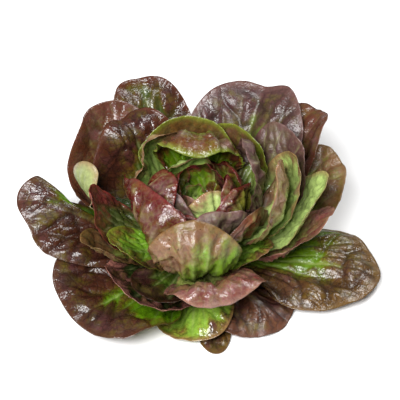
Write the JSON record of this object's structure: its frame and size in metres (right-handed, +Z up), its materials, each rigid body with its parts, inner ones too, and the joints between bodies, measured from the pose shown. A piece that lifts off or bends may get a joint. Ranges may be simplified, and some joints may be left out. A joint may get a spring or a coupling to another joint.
{
  "type": "butterhead lettuce",
  "caption": "Open head of red-leaved butterhead lettuce: a cupped heart inside layers of crinkled, glossy leaves on a short cut stem, standing on its base.",
  "frame": {"origin": "centre of the cut face under the stem, on the surface the head stands on", "axes": "+Z up through the heart, +X to the right and +Y to the far side of the head as it is usually looked at"},
  "size_m": [0.3044, 0.2467, 0.1085],
  "materials": {
    "stem": "moist, pale green-white, browned at the cut",
    "leaf_brown": "glossy, dark red-brown, blistered between the veins",
    "leaf_umber": "glossy, deep red-brown with olive patches",
    "leaf_russet": "matte, brown with a dusky red",
    "leaf_dark": "satin, very dark red-brown",
    "leaf_olive": "satin, olive flushed with brown",
    "leaf_green": "satin, fresh green with a red-brown margin",
    "leaf_lime": "satin, pale lime green",
    "leaf_purple": "satin, dusky purple-brown",
    "leaf_pink": "glossy, crimson with yellow-green patches",
    "leaf_rose": "satin, dusky pink over pale veins",
    "leaf_rust": "glossy, rust brown over green",
    "leaf_ember": "satin, dark with a crimson margin",
    "leaf_blush": "satin, dark with a pale pink margin",
    "leaf_folded": "satin, dark green above and pale green underneath"
  },
  "bodies": {
    "root": {"stem": "stem", "heart_bud_1": "leaf_olive", "heart_bud_2": "leaf_rose", "heart_bud_3": "leaf_rust", "heart_bud_4": "leaf_pink", "heart_bud_5": "leaf_lime", "heart_bud_6": "leaf_pink", "heart_bud_7": "leaf_purple", "heart_bud_8": "leaf_pink", "heart_inner_1": "leaf_lime", "heart_inner_2": "leaf_pink", "heart_inner_3": "leaf_pink", "heart_inner_4": "leaf_pink", "heart_inner_5": "leaf_pink", "heart_inner_6": "leaf_pink", "heart_inner_7": "leaf_purple", "heart_hood": "leaf_rust", "heart_back_left": "leaf_lime", "heart_left": "leaf_pink", "heart_right": "leaf_purple", "heart_front_right": "leaf_brown", "heart_front": "leaf_olive", "middle_back": "leaf_green", "middle_back_right": "leaf_green", "middle_right_front": "leaf_lime", "middle_right": "leaf_lime", "middle_right_back": "leaf_purple", "middle_left_front": "leaf_green", "middle_front": "leaf_lime", "middle_left": "leaf_ember", "middle_left_folded": "leaf_folded", "middle_left_narrow": "leaf_olive", "middle_right_trough": "leaf_lime", "middle_front_flap": "leaf_rose", "middle_back_left": "leaf_brown", "middle_front_left": "leaf_dark", "outer_back_right": "leaf_purple", "outer_right_back": "leaf_brown", "middle_right_rim": "leaf_rose", "outer_left_back": "leaf_brown", "outer_back_left": "leaf_brown", "middle_left_rim": "leaf_blush", "outer_right": "leaf_olive", "outer_left": "leaf_umber", "outer_right_front": "leaf_olive", "outer_front_left": "leaf_umber", "outer_front": "leaf_lime", "outer_front_right": "leaf_russet", "outer_front_tail": "leaf_olive", "lower_back_right": "leaf_brown", "lower_back_left": "leaf_brown", "lower_right": "leaf_brown", "under_back": "leaf_brown", "under_back_left": "leaf_brown", "under_back_right": "leaf_brown"}
  },
  "joints": []
}
